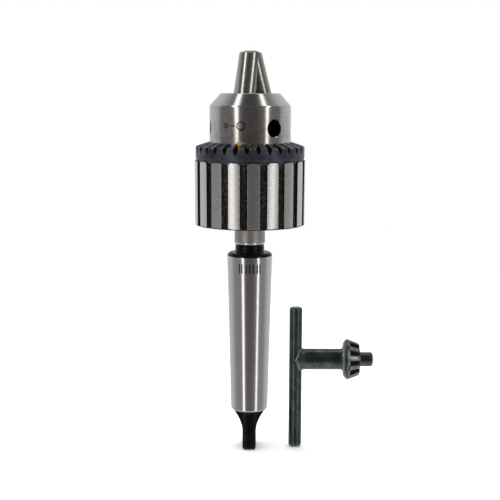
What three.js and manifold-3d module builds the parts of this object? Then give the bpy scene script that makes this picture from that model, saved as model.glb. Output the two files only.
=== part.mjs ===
// A keyed drill chuck, 1 to 10 mm, on a Morse taper arbor, with its T-handle key.
// Millimetres, +Z up. The origin is the middle of the tang's end face, the chuck axis is Z
// and the nose is at the top. The key stands beside the arbor with its shaft along +X.
import * as THREE from 'three';
import { mergeVertices } from 'three/addons/utils/BufferGeometryUtils.js';
import Module from 'manifold-3d';

const wasm = await Module();
wasm.setup();

// ---- driving dimensions ----
const GAP = 0.3;                 // clearance between pieces that touch or slide
const PAST = 1;                  // how far a cutting tool runs past the surface it cuts
const SEGMENTS = 48;             // facets round a plain turned piece
const SMALL_SEGMENTS = 36;       // facets round jaws, their holes and the key's shaft
const BAR_SEGMENTS = 30;         // facets round the key's bar and its hole
const HOLE_SEGMENTS = 24;        // facets round a pilot hole
const GEARED_SEGMENTS = 90;      // facets round the sleeve: a multiple of its lands and teeth

const TANG = { thick: 5.4, width: 13.5, top: 16, filletRadius: 11, filletStart: 7.6, chamfer: 0.9 };
const MORSE = { gaugeZ: 75, gaugeDiameter: 17.78, taper: 0.04995, top: 79.1 };
const NECK = { radius: 5.8, bottom: 80.1, top: 83.4 };
const SHORT_TAPER = { gaugeZ: 87.9, gaugeDiameter: 12.065, taper: 0.04988, top: 106.4, edge: 0.6 };
const CENTRE_DRILL = { radius: 1.6, depth: 2.8 };

const NOSE_Z = 142.9;            // flat nose face of the body
const NOSE_RADIUS = 11.7;
const BEVEL_Z = 138;             // where the nose bevel meets the cylinder
const BODY_RADIUS = 16;
const BODY_REAR_Z = 91;
const COLLAR_RADIUS = 19.1;
const BODY_EDGE = 0.8;           // chamfer of the body's rear edges
const SOCKET_TOP = SHORT_TAPER.top + 1.5;
const SHANK_BORE = { radius: 5.25, bottom: 113, knockOutRadius: 3, edge: 0.4, step: 1 };
const NUT_GROOVE = { bottom: 110.3, top: 119.4, radius: 14.1 };

const JAW_COUNT = 3;
const JAW_RADIUS = 4.15;
const JAW_TILT = THREE.MathUtils.degToRad(14);
const JAW_AXIS_AT_NOSE = 4.05;   // distance of a jaw's axis from the chuck axis at the nose face
const JAW_TAIL_Z = 115.5;        // closed jaw, middle of the tail face
const JAW_TIP_Z = 159.4;
const JAW_TRAVEL = 20;           // along the jaw's own axis, closed to open: 12.5 turns of the nut
const JAW_AZIMUTH = -24;         // first jaw, in degrees round from -Y towards +X
const JAW_TAIL_CHAMFER = 2.4;
const JAW_TIP_FLAT = 2.6;        // radius of the flat end that the closed jaws make together
const JAW_TIP_SLOPE = 0.5;       // fall of the tip outside that flat, for each millimetre of radius
const JAW_THREAD = { pitch: 2, depth: 0.7, halfWidth: 0.8, flank: 1.6, first: 2.6, grooves: 11 };

const HOLE_Z = 129.6;            // pilot holes, and the apex of both pitch cones
const HOLE = { radius: 3.25, bottom: 8, chamfer: 0.35 };
const HOLE_AZIMUTH = 36;

const GEAR = { teeth: 30, radius: 21.47, crestZ: 122.2, rootZ: 119.8, rootWidth: 0.5, crestWidth: 2.6 };
const FIRST_GAP_AZIMUTH = -3.2;
const SLEEVE = { bottom: 91.2, rearRadius: 21.7, frontRadius: 21.83, landTop: 116.4, ringBottom: 117.6 };
const REAR_LIP = { length: 2.7, slope: 0.5 };  // the part of the bore that fits round the body's collar
const LANDS = { count: 18, azimuth: 3.7, fluteAngle: THREE.MathUtils.degToRad(6.6), fluteFloor: 21.05 };
const NUT = { radius: 18.9, bottom: 110.6, top: 119.1 };
const NUT_THREAD = { grooves: 4, first: 0.96, pitch: 1.6, depth: 0.5 };

const KEY_Z = 36.2;              // height of the key's shaft above the tang's end
const KEY_BAR = { x: 18.7, radius: 2.62, length: 57.6, chamfer: 0.6 };
const KEY_SHAFT = { radius: 4.25, saddleX: 18.5, shoulderX: 20.9, collarX: 37.6 };
const PINION = { teeth: 11, backX: 40, face: 4.5, apexDistance: 20.9, tipRadius: 8.2, rootRadius: 6.3 };
const PINION_BACK = { step: 1.6, rim: 0.4, slope: 0.5, rimX: 1.5, overlap: 0.1 };
const TOOTH = { tipHalf: THREE.MathUtils.degToRad(4.6), rootHalf: THREE.MathUtils.degToRad(11.9) };
const PILOT = { radius: 2.9, end: 50, chamfer: 0.6 };

// ---- helpers ----
const JAW_CROWN = JAW_RADIUS / Math.cos(JAW_TILT);
const jawAxisRadius = (z) => JAW_AXIS_AT_NOSE + (NOSE_Z - z) * Math.tan(JAW_TILT);
const morseRadius = (z) => (MORSE.gaugeDiameter + (z - MORSE.gaugeZ) * MORSE.taper) / 2;
const shortTaperRadius = (z) =>
  (SHORT_TAPER.gaugeDiameter - (z - SHORT_TAPER.gaugeZ) * SHORT_TAPER.taper) / 2;
const turnTo = (azimuth) => THREE.MathUtils.degToRad(azimuth - 90);

// Turns a closed geometry into a solid, dropping triangles that collapse on the axis.
function solid(geometry) {
  geometry.deleteAttribute('normal');
  geometry.deleteAttribute('uv');
  const merged = mergeVertices(geometry, 1e-4);
  const index = merged.index.array;
  const triVerts = [];
  for (let i = 0; i < index.length; i += 3) {
    const [a, b, c] = [index[i], index[i + 1], index[i + 2]];
    if (a !== b && b !== c && c !== a) triVerts.push(a, b, c);
  }
  const vertProperties = new Float32Array(merged.attributes.position.array);
  const mesh = new wasm.Mesh({ numProp: 3, vertProperties, triVerts: new Uint32Array(triVerts) });
  return new wasm.Manifold(mesh);
}

// Solid of revolution about Z from [radius, z] points, outer side going up.
function turned(points, segments = SEGMENTS) {
  const profile = points.map(([r, z]) => new THREE.Vector2(r, z));
  return solid(new THREE.LatheGeometry(profile, segments).rotateX(Math.PI / 2));
}

// The same for a ring, whose profile closes on itself.
function turnedRing(points, segments = SEGMENTS) {
  return turned([...points, points[0]], segments);
}

// Solid of revolution about X from [radius, x] points.
function turnedAlongX(points, segments = SEGMENTS) {
  const profile = points.map(([r, x]) => new THREE.Vector2(r, x));
  return solid(new THREE.LatheGeometry(profile, segments).rotateZ(-Math.PI / 2));
}

// Prism with its outline in XZ, centred on Y = 0.
function prismAcrossY(outline, depth) {
  const shape = new THREE.Shape(outline.map(([x, z]) => new THREE.Vector2(x, z)));
  return prismFromShape(shape, depth);
}

function prismFromShape(shape, depth) {
  const geometry = new THREE.ExtrudeGeometry(shape, { depth, bevelEnabled: false, curveSegments: 10 });
  return solid(geometry.rotateX(Math.PI / 2).translate(0, depth / 2, 0));
}

// Closed solid between two rings of points that correspond one to one.
function loft(ringA, ringB) {
  const count = ringA.length;
  const middle = (ring) => ring.reduce((sum, p) => sum.add(p), new THREE.Vector3()).divideScalar(count);
  const points = [...ringA, ...ringB, middle(ringA), middle(ringB)];
  const index = [];
  for (let i = 0; i < count; i += 1) {
    const j = (i + 1) % count;
    index.push(i, j, count + j, i, count + j, count + i);
    index.push(2 * count, j, i, 2 * count + 1, count + i, count + j);
  }
  const geometry = new THREE.BufferGeometry().setFromPoints(points);
  geometry.setIndex(index);
  return solid(geometry);
}

function turnedCopies(piece, count, azimuth) {
  const copies = [];
  for (let i = 0; i < count; i += 1) {
    copies.push(piece.rotate([0, 0, azimuth - 90 + (i * 360) / count]));
  }
  return wasm.Manifold.union(copies);
}

function part(name, piece, color, roughness, metalness) {
  const { vertProperties, triVerts } = piece.getMesh();
  const geometry = new THREE.BufferGeometry();
  geometry.setAttribute('position', new THREE.BufferAttribute(vertProperties, 3));
  geometry.setIndex(new THREE.BufferAttribute(triVerts, 1));
  geometry.computeVertexNormals();
  const mesh = new THREE.Mesh(geometry, new THREE.MeshStandardMaterial({ color, roughness, metalness }));
  mesh.name = name;
  return mesh;
}

const GROUND_STEEL = [0xb9b6b0, 0.3, 1];
const JAW_STEEL = [0x8d8a85, 0.25, 1];
const BLACK_OXIDE = [0x23262a, 0.5, 0.6];

// ---- body ----
function jawHole() {
  const beyondTail = JAW_TRAVEL + 2 * PAST;
  const beyondNose = 4 * PAST;
  const length = beyondTail + (NOSE_Z - JAW_TAIL_Z) / Math.cos(JAW_TILT) + beyondNose;
  const radius = JAW_RADIUS + GAP;
  const bore = turned([[0, 0], [radius, 0], [radius, length], [0, length]], SMALL_SEGMENTS);
  const z = JAW_TAIL_Z - beyondTail * Math.cos(JAW_TILT);
  return bore.rotate([0, THREE.MathUtils.radToDeg(-JAW_TILT), 0]).translate([jawAxisRadius(z), 0, z]);
}

function pilotHole() {
  const mouth = BODY_RADIUS - HOLE.chamfer;
  const rim = HOLE.radius + 2 * HOLE.chamfer;
  const bore = turnedAlongX([
    [0, HOLE.bottom], [HOLE.radius, HOLE.bottom], [HOLE.radius, mouth], [rim, mouth + 2 * HOLE.chamfer],
    [rim, BODY_RADIUS + PAST], [0, BODY_RADIUS + PAST],
  ], HOLE_SEGMENTS);
  return bore.translate([0, 0, HOLE_Z]);
}

function makeBody() {
  const socketRadius = (z) => shortTaperRadius(z) + GAP;
  const blank = turnedRing([
    [socketRadius(BODY_REAR_Z) + BODY_EDGE, BODY_REAR_Z], [COLLAR_RADIUS - BODY_EDGE, BODY_REAR_Z],
    [COLLAR_RADIUS, BODY_REAR_Z + BODY_EDGE], [COLLAR_RADIUS, NUT_GROOVE.bottom],
    [NUT_GROOVE.radius, NUT_GROOVE.bottom], [NUT_GROOVE.radius, NUT_GROOVE.top],
    [BODY_RADIUS, NUT_GROOVE.top], [BODY_RADIUS, BEVEL_Z], [NOSE_RADIUS, NOSE_Z],
    [SHANK_BORE.radius + SHANK_BORE.edge, NOSE_Z], [SHANK_BORE.radius, NOSE_Z - SHANK_BORE.edge],
    [SHANK_BORE.radius, SHANK_BORE.bottom],
    [SHANK_BORE.knockOutRadius, SHANK_BORE.bottom - SHANK_BORE.step],
    [SHANK_BORE.knockOutRadius, SOCKET_TOP], [socketRadius(SOCKET_TOP), SOCKET_TOP],
    [socketRadius(BODY_REAR_Z + BODY_EDGE), BODY_REAR_Z + BODY_EDGE],
  ]);
  return blank
    .subtract(turnedCopies(jawHole(), JAW_COUNT, JAW_AZIMUTH))
    .subtract(turnedCopies(pilotHole(), JAW_COUNT, HOLE_AZIMUTH));
}

// ---- arbor ----
// What is milled from one side of the tang, with the cutter's fillet at its top.
function tangCheek() {
  const half = TANG.thick / 2;
  const centreX = half + TANG.filletRadius;
  const outside = morseRadius(TANG.top) + PAST;
  const arcEnd = Math.PI - Math.acos((centreX - outside) / TANG.filletRadius);
  const shape = new THREE.Shape();
  shape.moveTo(half - TANG.chamfer - PAST, -PAST);
  shape.lineTo(half, TANG.chamfer);
  shape.lineTo(half, TANG.filletStart);
  shape.absarc(centreX, TANG.filletStart, TANG.filletRadius, Math.PI, arcEnd, true);
  shape.lineTo(outside, -PAST);
  return prismFromShape(shape, 4 * TANG.width);
}

function makeArbor() {
  const tangRadius = TANG.width / 2;
  const shoulder = 1;
  const tangStep = TANG.top - 0.5;
  const taperStart = NECK.top + 0.3;
  const { top, edge } = SHORT_TAPER;
  const blank = turned([
    [0, 0], [tangRadius - shoulder, 0], [tangRadius, shoulder], [tangRadius, tangStep],
    [morseRadius(TANG.top), TANG.top], [morseRadius(MORSE.top), MORSE.top],
    [morseRadius(MORSE.top) - shoulder, NECK.bottom], [NECK.radius, NECK.bottom], [NECK.radius, NECK.top],
    [shortTaperRadius(taperStart), taperStart], [shortTaperRadius(top), top - edge],
    [shortTaperRadius(top) - edge, top], [CENTRE_DRILL.radius, top], [0, top - CENTRE_DRILL.depth],
  ]);
  const cheek = tangCheek();
  return blank.subtract(cheek).subtract(cheek.mirror([1, 0, 0]));
}

// ---- sleeve with its ring gear ----
// A V-shaped gap that narrows towards the apex of the pitch cone.
function toothGap() {
  const apex = new THREE.Vector3(0, 0, HOLE_Z);
  const above = 2 * PAST;
  const inside = 0.7;
  const outside = 1.05;
  const slope = (GEAR.crestWidth - GEAR.rootWidth) / (GEAR.crestZ - GEAR.rootZ);
  const topWidth = GEAR.crestWidth + above * slope;
  const section = [
    [-GEAR.rootWidth / 2, GEAR.rootZ], [GEAR.rootWidth / 2, GEAR.rootZ],
    [topWidth / 2, GEAR.crestZ + above], [-topWidth / 2, GEAR.crestZ + above],
  ].map(([y, z]) => new THREE.Vector3(GEAR.radius, y, z));
  const scaled = (k) => section.map((p) => p.clone().sub(apex).multiplyScalar(k).add(apex));
  return loft(scaled(inside), scaled(outside));
}

function flute() {
  const width = 2 * LANDS.fluteFloor * Math.tan(LANDS.fluteAngle / 2);
  const low = SLEEVE.bottom - PAST;
  const high = (SLEEVE.landTop + SLEEVE.ringBottom) / 2;
  const depth = 3 * PAST;
  const box = new THREE.BoxGeometry(depth, width, high - low);
  return solid(box.translate(LANDS.fluteFloor + depth / 2, 0, (low + high) / 2));
}

function makeSleeve() {
  const boreFront = BODY_RADIUS + GAP + 0.05;
  const boreRear = COLLAR_RADIUS + GAP;
  const boreMiddle = boreRear + REAR_LIP.slope;
  const lipTop = SLEEVE.bottom + REAR_LIP.length;
  const seat = NUT.radius + GAP;
  const seatTop = NUT.top + GAP;
  const seatBottom = NUT.bottom - 0.2;
  const edge = 0.4;
  const grooveBottom = SLEEVE.landTop + 0.6;
  const grooveTop = SLEEVE.ringBottom - 0.2;
  const crestAt = (r) => HOLE_Z - ((HOLE_Z - GEAR.crestZ) * r) / GEAR.radius;
  const blank = turnedRing([
    [boreRear, SLEEVE.bottom], [SLEEVE.rearRadius - edge, SLEEVE.bottom],
    [SLEEVE.rearRadius, SLEEVE.bottom + edge], [SLEEVE.frontRadius, SLEEVE.landTop],
    [LANDS.fluteFloor, grooveBottom], [LANDS.fluteFloor, grooveTop],
    [GEAR.radius, SLEEVE.ringBottom], [GEAR.radius, GEAR.crestZ], [boreFront, crestAt(boreFront)],
    [boreFront, seatTop], [seat, seatTop], [seat, seatBottom],
    [boreMiddle, seatBottom - (boreMiddle - seat)],
    [boreMiddle, lipTop + REAR_LIP.slope], [boreRear, lipTop],
  ], GEARED_SEGMENTS);
  return blank
    .subtract(turnedCopies(toothGap(), GEAR.teeth, FIRST_GAP_AZIMUTH))
    .subtract(turnedCopies(flute(), LANDS.count, LANDS.azimuth + 180 / LANDS.count));
}

// ---- split nut ----
function makeNut() {
  const inner = (z) => jawAxisRadius(z) + JAW_CROWN + GAP;
  const outline = [[inner(NUT.bottom), NUT.bottom], [NUT.radius, NUT.bottom], [NUT.radius, NUT.top]];
  outline.push([inner(NUT.top), NUT.top]);
  const half = NUT_THREAD.pitch / 3;
  for (let i = 0; i < NUT_THREAD.grooves; i += 1) {
    const z = NUT.top - NUT_THREAD.first - i * NUT_THREAD.pitch;
    outline.push([inner(z + half), z + half], [inner(z) + NUT_THREAD.depth, z], [inner(z - half), z - half]);
  }
  return turnedRing(outline);
}

function nutHalf(side) {
  const reach = 2 * NUT.radius;
  const box = new THREE.BoxGeometry(2 * reach, reach, 2 * reach);
  return makeNut().intersect(solid(box.translate(0, side * (reach + GAP) / 2, NUT.bottom)));
}

// ---- jaws ----
// Keeps a jaw's third of the space round the chuck axis, half a gap inside each 120 degree flat.
function gripWedge() {
  const apex = GAP / 2 / Math.sin(Math.PI / 3);
  const reach = 5 * JAW_RADIUS;
  const low = JAW_TAIL_Z - 10 * PAST;
  const depth = JAW_TIP_Z + 10 * PAST - low;
  const shape = new THREE.Shape();
  shape.moveTo(apex, 0);
  shape.lineTo(apex + reach, -reach * Math.sqrt(3));
  shape.lineTo(apex + reach, reach * Math.sqrt(3));
  const geometry = new THREE.ExtrudeGeometry(shape, { depth, bevelEnabled: false });
  return solid(geometry.translate(0, 0, low));
}

function tipCap() {
  const reach = 7 * JAW_RADIUS;
  const low = JAW_TAIL_Z - 10 * PAST;
  const edgeZ = JAW_TIP_Z - (reach - JAW_TIP_FLAT) * JAW_TIP_SLOPE;
  return turned([[0, low], [reach, low], [reach, edgeZ], [JAW_TIP_FLAT, JAW_TIP_Z], [0, JAW_TIP_Z]]);
}

function threadGroove(z) {
  const { depth, halfWidth, flank } = JAW_THREAD;
  const crown = jawAxisRadius(z) + JAW_CROWN;
  const outside = crown + 1.2 * PAST;
  const half = halfWidth * flank;
  return turnedRing([[crown - depth, z], [outside, z - half], [outside, z + half]], SMALL_SEGMENTS);
}

function makeJaw() {
  const length = (JAW_TIP_Z - JAW_TAIL_Z) / Math.cos(JAW_TILT) + 3 * PAST;
  const rod = turned([
    [0, 0], [JAW_RADIUS - JAW_TAIL_CHAMFER, 0], [JAW_RADIUS, JAW_TAIL_CHAMFER], [JAW_RADIUS, length],
    [0, length],
  ], SMALL_SEGMENTS);
  let jaw = rod
    .rotate([0, THREE.MathUtils.radToDeg(-JAW_TILT), 0])
    .translate([jawAxisRadius(JAW_TAIL_Z), 0, JAW_TAIL_Z])
    .intersect(gripWedge())
    .intersect(tipCap());
  for (let i = 0; i < JAW_THREAD.grooves; i += 1) {
    jaw = jaw.subtract(threadGroove(JAW_TAIL_Z + JAW_THREAD.first + i * JAW_THREAD.pitch));
  }
  return jaw;
}

// ---- key ----
function pinionRing(x) {
  const apexX = PINION.backX + PINION.apexDistance;
  const k = (apexX - x) / PINION.apexDistance;
  const corners = [
    [PINION.rootRadius, -TOOTH.rootHalf], [PINION.tipRadius, -TOOTH.tipHalf],
    [PINION.tipRadius, TOOTH.tipHalf], [PINION.rootRadius, TOOTH.rootHalf],
  ];
  const ring = [];
  for (let i = 0; i < PINION.teeth; i += 1) {
    const centre = (i * 2 * Math.PI) / PINION.teeth;
    for (const [r, turn] of corners) {
      ring.push(new THREE.Vector3(x, k * r * Math.cos(centre + turn), k * r * Math.sin(centre + turn)));
    }
  }
  return ring;
}

// Keeps the shaft beyond a V that straddles the bar.
function saddle() {
  const { radius, saddleX, shoulderX } = KEY_SHAFT;
  const reach = 1.5 * PINION.tipRadius;
  const vHalf = 1.1 * radius;
  const endX = PILOT.end + PAST;
  return prismAcrossY([
    [saddleX, 0], [shoulderX, -vHalf], [shoulderX, -reach], [endX, -reach], [endX, reach],
    [shoulderX, reach], [shoulderX, vHalf],
  ], 2 * reach);
}

function makeKeyShaft() {
  const front = PINION.backX + PINION.face;
  const core = PINION.rootRadius - 2;
  const { radius, saddleX, collarX } = KEY_SHAFT;
  const { step, rim, slope, rimX, overlap } = PINION_BACK;
  const coreEnd = front - 0.5;
  const stem = turnedAlongX([
    [0, saddleX - PAST], [radius, saddleX - PAST], [radius, collarX],
    [PINION.tipRadius - step, collarX + slope], [PINION.tipRadius - rim, collarX + rimX],
    [PINION.tipRadius, PINION.backX - overlap], [PINION.tipRadius, PINION.backX + overlap],
    [core, PINION.backX + overlap], [core, coreEnd], [PILOT.radius, coreEnd],
    [PILOT.radius, PILOT.end - PILOT.chamfer], [PILOT.radius - PILOT.chamfer, PILOT.end], [0, PILOT.end],
  ], SMALL_SEGMENTS);
  const holeRadius = KEY_BAR.radius + GAP;
  const reach = 2 * PINION.tipRadius;
  const holeOutline = [[0, -reach], [holeRadius, -reach], [holeRadius, reach], [0, reach]];
  const crossHole = turned(holeOutline, BAR_SEGMENTS);
  return stem
    .add(loft(pinionRing(PINION.backX), pinionRing(front)))
    .intersect(saddle())
    .subtract(crossHole.translate([KEY_BAR.x, 0, 0]));
}

function makeKeyHandle() {
  const { radius, length, chamfer } = KEY_BAR;
  return turned([
    [0, 0], [radius - chamfer, 0], [radius, chamfer], [radius, length - chamfer],
    [radius - chamfer, length], [0, length],
  ], BAR_SEGMENTS);
}

// ---- assembly ----
const chuck = new THREE.Group();
chuck.add(part('body', makeBody(), ...GROUND_STEEL));
chuck.add(part('arbor', makeArbor(), ...GROUND_STEEL));

const driven = new THREE.Group();
driven.add(part('sleeve', makeSleeve(), ...BLACK_OXIDE));
driven.add(part('nut_half_a', nutHalf(1), ...BLACK_OXIDE));
driven.add(part('nut_half_b', nutHalf(-1), ...BLACK_OXIDE));
chuck.add(driven);

const jawSolid = makeJaw();
for (let i = 0; i < JAW_COUNT; i += 1) {
  const jaw = part(`jaw_${i + 1}`, jawSolid, ...JAW_STEEL);
  jaw.rotation.z = turnTo(JAW_AZIMUTH + (i * 360) / JAW_COUNT);
  chuck.add(jaw);
}

const key = new THREE.Group();
const keyShaft = part('key_shaft', makeKeyShaft(), ...BLACK_OXIDE);
keyShaft.position.z = KEY_Z;
const keyHandle = part('key_handle', makeKeyHandle(), ...BLACK_OXIDE);
keyHandle.position.x = KEY_BAR.x;
key.add(keyShaft, keyHandle);
chuck.add(key);

export default chuck;
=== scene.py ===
"""A keyed drill chuck on its Morse taper arbor, with its T-handle key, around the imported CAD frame."""
import math

import bmesh
import bpy
from mathutils import Matrix, Vector


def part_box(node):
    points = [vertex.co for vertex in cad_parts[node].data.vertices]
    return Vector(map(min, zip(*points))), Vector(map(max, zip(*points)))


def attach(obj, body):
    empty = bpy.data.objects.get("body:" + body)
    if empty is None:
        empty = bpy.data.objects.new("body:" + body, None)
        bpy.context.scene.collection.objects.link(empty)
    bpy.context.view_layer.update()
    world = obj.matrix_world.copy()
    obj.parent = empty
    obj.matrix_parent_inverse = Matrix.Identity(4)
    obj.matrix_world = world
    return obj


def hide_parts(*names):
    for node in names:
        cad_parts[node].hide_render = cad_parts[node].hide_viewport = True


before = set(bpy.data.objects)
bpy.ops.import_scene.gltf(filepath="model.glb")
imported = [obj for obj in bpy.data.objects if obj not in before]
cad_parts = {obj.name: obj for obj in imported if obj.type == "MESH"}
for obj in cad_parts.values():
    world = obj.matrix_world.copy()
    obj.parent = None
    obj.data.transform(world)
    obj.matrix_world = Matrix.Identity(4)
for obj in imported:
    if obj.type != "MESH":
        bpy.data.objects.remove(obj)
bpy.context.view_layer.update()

MM = 0.001  # all modelling below is in millimetres, and meshes are scaled to metres when they are made


def box_mm(node):
    low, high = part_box(node)
    return low / MM, high / MM


BODY_LOW, BODY_HIGH = box_mm("body")
ARBOR_HIGH = box_mm("arbor")[1]
SLEEVE_LOW = box_mm("sleeve")[0]
JAW_HIGH = box_mm("jaw_1")[1]
NUT_LOW, NUT_HIGH = box_mm("nut_half_a")
BAR_LOW, BAR_HIGH = box_mm("key_handle")
KEY_LOW, KEY_HIGH = box_mm("key_shaft")

GAP = 0.3  # clearance between pieces that touch or slide

# facets round turned pieces and cutters
SEGMENTS = 240
CAP_SEGMENTS = 180
JAW_SEGMENTS = 128
SMALL_SEGMENTS = 96
HOLE_SEGMENTS = 64
MARK_SEGMENTS = 40

# body
NOSE_Z = BODY_HIGH.z
BODY_REAR_Z = BODY_LOW.z
COLLAR_R = BODY_HIGH.x
BODY_R = 16.0
NOSE_R = 11.7
BEVEL_Z = NOSE_Z - 4.9
SOCKET_TOP = ARBOR_HIGH.z + 1.5
BORE_R = 5.25
BORE_BOTTOM = 113.0
KNOCK_OUT_R = 3.0
GROOVE_R = 14.1
GROOVE_BOTTOM = 110.3
GROOVE_TOP = 119.4
HOLE_Z = 129.6          # pilot holes, and the apex of both pitch cones
HOLE_R = 3.25
HOLE_BOTTOM = 8.0
HOLE_MOUTH = BODY_R - 0.35
HOLE_EDGE = 0.7         # the widening of a pilot hole at its mouth
HOLE_AZIMUTH = 36.0
MARK_Z = 130.6
MARK_FLOOR = BODY_R - 0.14
MARK_LINE = 0.42
MARK_RINGS = ((-35, 0.95), (-13, 1.75))  # azimuth and outer radius
DASH_AZIMUTH = -25
DASH_HALVES = (1.1, 0.2)  # half its length and half its height
# arbor
MORSE = {"gauge_z": 75.0, "diameter": 17.78, "taper": 0.04995, "top": 79.1}
SHORT_TAPER = {"gauge_z": 87.9, "diameter": 12.065, "taper": 0.04988, "centre_r": 1.6, "centre_depth": 2.6}
TANG_HALF = 2.7
TANG_R = 6.75
TANG_TOP = 16.0
FILLET_R = 11.0
FILLET_START = 7.6
FILLET_ARC = math.radians(64)
SHOULDER_INSET = 0.9
NECK_BOTTOM = 80.1
NECK_GROOVES = ((80.9, -0.1), (81.7, 0.05), (82.4, -0.1))  # height and change of radius: a faint wave
NECK_TOP = 83.4
NECK_R = 5.8
# above this height the short taper is rougher and painted darker for the sleeve's shade
DULL_ABOVE = 84.5
ETCH_Z = 74.4
ETCH_HALF = 1.9
ETCH_DEPTH = 0.09
ETCH_AZIMUTHS = (-27, -20, -9, 0, 9, 20, 27)
# sleeve
LANDS = 18
LAND_AZIMUTH = 3.7      # the middle of a land
LAND_TOP = 116.9
LAND_R_REAR = 21.7
LAND_R_FRONT = 21.83
LAND_HALF = math.radians(6.7) * LAND_R_FRONT
LAND_CORNER = 1.1
LAND_FLANK = 0.22       # width of the slope between a land and a flute
FLUTE_R = 21.1
COLLAR_SEAT = 2.7       # length of the bore that fits round the body's collar
RING_BOTTOM = 117.5
GEAR_TEETH = 30
GEAR_R = 21.47
CREST_Z = 122.2
ROOT_Z = 119.8
TOOTH_GAP_AZIMUTH = -3.2
# jaws
JAW_R = 4.15
JAW_CLEARANCE = 0.25
JAW_TILT = math.radians(14)
JAW_CROWN = JAW_R / math.cos(JAW_TILT)
JAW_AXIS_AT_NOSE = 4.05
JAW_TIP_Z = JAW_HIGH.z
JAW_TIP_FLAT = 2.6      # radius of the flat end that the closed jaws make together
JAW_TIP_SLOPE = 0.5     # fall of the tip outside that flat, for each millimetre of radius
JAW_TAIL_Z = 115.5
JAW_TAIL_CHAMFER = 2.4
JAW_TRAVEL = 20.0
JAW_AZIMUTH = -24.0
JAW_EDGE_X = GAP / 2 / math.sin(math.pi / 3)  # the gripping edge stands this far off the chuck's axis
THREAD = {"pitch": 1.6, "depth": 0.75, "clear": 0.12, "teeth": 14}
# key
KEY_AXIS_Z = (KEY_LOW.z + KEY_HIGH.z) / 2
BAR_X = (BAR_LOW.x + BAR_HIGH.x) / 2
BAR_R = (BAR_HIGH.x - BAR_LOW.x) / 2
STEM_R = 4.25
SADDLE_X = BAR_X + 2.1  # where the stem's end starts to narrow round the bar
COLLAR_X = 37.6
PINION_X = 40.0
PINION_FACE = 4.5
PINION_FRONT = PINION_X + PINION_FACE
PINION_TEETH = 11
PINION_TIP = 8.2
PINION_ROOT = 6.3
PINION_APEX = 20.9      # from the pinion's back to the apex of its cone
TOOTH_TIP_HALF = math.radians(4.6)
TOOTH_ROOT_HALF = math.radians(12.2)
PILOT_R = 2.9
# finish
GREASE = (0.62, 0.4, 0.015)
GREASE_AT = (-3.9, -16.2, 122.4)
OIL_NONE_Z, OIL_FULL_Z = 137.0, 126.0  # the oil film on the body thickens downwards between these
# stage, in metres and degrees
LENS = 80.0
CAMERA_AT = (0.0001, -0.440, 0.1444)
CAMERA_TIP = 8.226
CAMERA_ROLL = 0.2
LIGHT_AT = (0.0, 0.2, 1.2)
LIGHT_SIZE = 1.6
LIGHT_WATTS = 26
STRIPS = (  # azimuth and elevation of each end, half the width, and the power
    ((-37.5, -6), (-94, 70), 4.8, 2.3),
    ((47.5, -6), (88, 67), 4.2, 2.2),
)
STRIP_LIFT = 1.7  # how much brighter the strips are at the height that the leaning jaws mirror


def jaw_axis_radius(z):
    return JAW_AXIS_AT_NOSE + (NOSE_Z - z) * math.tan(JAW_TILT)


def morse_radius(z):
    return (MORSE["diameter"] + (z - MORSE["gauge_z"]) * MORSE["taper"]) / 2


def short_taper_radius(z):
    return (SHORT_TAPER["diameter"] - (z - SHORT_TAPER["gauge_z"]) * SHORT_TAPER["taper"]) / 2


def land_radius(z):
    share = (z - SLEEVE_LOW.z) / (LAND_TOP - SLEEVE_LOW.z)
    return LAND_R_REAR + (LAND_R_FRONT - LAND_R_REAR) * share


def thirds(azimuth):
    """An azimuth and the two that share the circle with it."""
    return [azimuth + 120 * i for i in range(3)]


def around(azimuth):
    """Turn about Z that takes +X to an azimuth in degrees, counted from -Y towards +X."""
    return Matrix.Rotation(math.radians(azimuth - 90), 4, "Z")


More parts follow.
